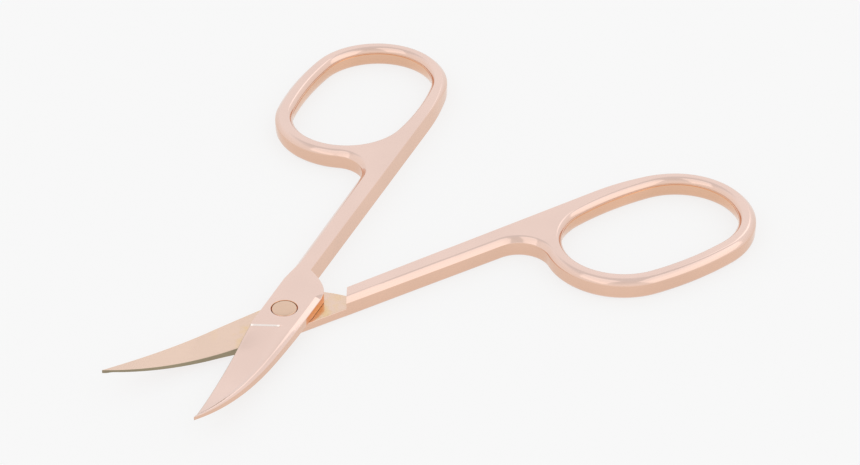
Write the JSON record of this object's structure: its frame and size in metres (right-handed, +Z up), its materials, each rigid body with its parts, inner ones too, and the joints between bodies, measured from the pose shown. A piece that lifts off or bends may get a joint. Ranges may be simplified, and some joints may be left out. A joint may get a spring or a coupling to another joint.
{
  "type": "cuticle scissors",
  "caption": "Curved-blade cuticle scissors with oval finger rings, hinged on a flush rivet, for trimming cuticles and nails.",
  "frame": {"origin": "on the rivet's axis, in the plane of the underside that lies on the table", "axes": "+X towards the finger rings, midway between the two handles as they lie open, so the tips point towards -X; +Z up along the rivet's axis, the way the blades curve; +Y towards the upper half's ring"},
  "size_m": [0.0832, 0.074, 0.0045],
  "materials": {
    "rose_gold_steel": "rose-gold plated steel, softly polished",
    "rivet_steel": "rose-gold plated steel, ground flush"
  },
  "bodies": {
    "lower": {"lower_half": "rose_gold_steel", "pivot_rivet": "rivet_steel"},
    "upper": {"upper_half": "rose_gold_steel"}
  },
  "joints": [
    {"name": "blade_pivot", "type": "hinge", "parent": "lower", "child": "upper", "pos_m": [0, 0, 0], "axis": [0, 0, 1], "range_deg": [-35.4, 60]}
  ]
}
